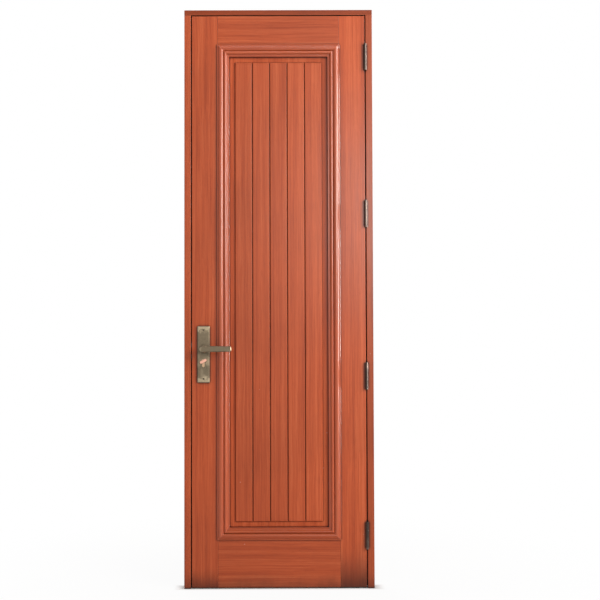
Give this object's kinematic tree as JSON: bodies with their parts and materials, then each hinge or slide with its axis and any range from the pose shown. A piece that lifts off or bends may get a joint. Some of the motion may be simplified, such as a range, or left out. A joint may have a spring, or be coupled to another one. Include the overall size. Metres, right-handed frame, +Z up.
{
  "type": "panelled front door",
  "caption": "Tall panelled wooden door hung in a rebated frame on knuckle hinges, with a boarded panel in bolection moulding, lever handles and a mortise lock with a thumb turn.",
  "frame": {"origin": "on the floor, midway across the frame, on the middle plane of the closed leaf", "axes": "+Z up, +X towards the hinge jamb, -Y out of the side with the hinge barrels and the thumb turn"},
  "size_m": [0.8, 0.169, 2.45],
  "materials": {
    "frame_wood": "varnished red-brown",
    "leaf_wood": "varnished red-brown",
    "panel_wood": "varnished red-brown",
    "moulding_wood": "varnished red-brown",
    "handle_bronze": "aged bronze",
    "hinge_brass": "aged brass",
    "cylinder_brass": "satin",
    "lock_steel": "zinc plated",
    "seal_rubber": "matt"
  },
  "bodies": {
    "frame": {"frame_head": "frame_wood", "hinge_jamb": "frame_wood", "lock_jamb": "frame_wood", "head_stop": "frame_wood", "hinge_stop": "frame_wood", "lock_stop": "frame_wood", "strike_plate": "lock_steel", "hinge_side_seal": "seal_rubber", "lock_side_seal": "seal_rubber", "head_seal": "seal_rubber", "hinge_1_jamb_leaf": "hinge_brass", "hinge_2_jamb_leaf": "hinge_brass", "hinge_3_jamb_leaf": "hinge_brass", "hinge_4_jamb_leaf": "hinge_brass"},
    "leaf": {"hinge_stile": "leaf_wood", "lock_stile": "leaf_wood", "top_rail": "leaf_wood", "bottom_rail": "leaf_wood", "core_panel": "panel_wood", "front_board_1": "panel_wood", "front_board_2": "panel_wood", "front_board_3": "panel_wood", "front_board_4": "panel_wood", "front_board_5": "panel_wood", "rear_board_1": "panel_wood", "rear_board_2": "panel_wood", "rear_board_3": "panel_wood", "rear_board_4": "panel_wood", "rear_board_5": "panel_wood", "front_moulding_left": "moulding_wood", "front_moulding_right": "moulding_wood", "front_moulding_bottom": "moulding_wood", "front_moulding_top": "moulding_wood", "rear_moulding_left": "moulding_wood", "rear_moulding_right": "moulding_wood", "rear_moulding_bottom": "moulding_wood", "rear_moulding_top": "moulding_wood", "hinge_1_door_leaf": "hinge_brass", "hinge_2_door_leaf": "hinge_brass", "hinge_3_door_leaf": "hinge_brass", "hinge_4_door_leaf": "hinge_brass", "lock_case": "lock_steel", "lock_faceplate": "lock_steel", "lock_cylinder": "cylinder_brass", "front_plate": "handle_bronze", "rear_plate": "handle_bronze"},
    "lever": {"front_lever": "handle_bronze", "rear_lever": "handle_bronze", "spindle": "lock_steel", "follower": "lock_steel"},
    "latch_bolt": {"latch_bolt": "lock_steel"},
    "thumb_turn": {"thumb_turn": "handle_bronze", "cylinder_cam": "lock_steel"},
    "deadbolt": {"deadbolt": "lock_steel"}
  },
  "joints": [
    {"name": "leaf_swing", "type": "hinge", "parent": "frame", "child": "leaf", "pos_m": [0.37, -0.0305, 0], "axis": [0, 0, 1], "range_deg": [0, 170]},
    {"name": "lever_turn", "type": "hinge", "parent": "leaf", "child": "lever", "pos_m": [-0.318, 0, 1.007], "axis": [0, 1, 0], "range_deg": [0, 40], "stiffness_Nm_per_rad": 1.2, "springref_deg": -40.11},
    {"name": "latch_slide", "type": "slide", "parent": "leaf", "child": "latch_bolt", "axis": [1, 0, 0], "range_m": [0, 0.012]},
    {"name": "thumb_turn_turn", "type": "hinge", "parent": "leaf", "child": "thumb_turn", "pos_m": [-0.318, 0, 0.955], "axis": [0, -1, 0], "range_deg": [0, 90]},
    {"name": "deadbolt_slide", "type": "slide", "parent": "leaf", "child": "deadbolt", "axis": [-1, 0, 0], "range_m": [0, 0.02]}
  ],
  "couplings": [
    {"joint": "latch_slide", "follows": "lever_turn", "m_per_rad": 0.01718},
    {"joint": "thumb_turn_turn", "follows": "deadbolt_slide", "rad_per_m": 78.5}
  ]
}
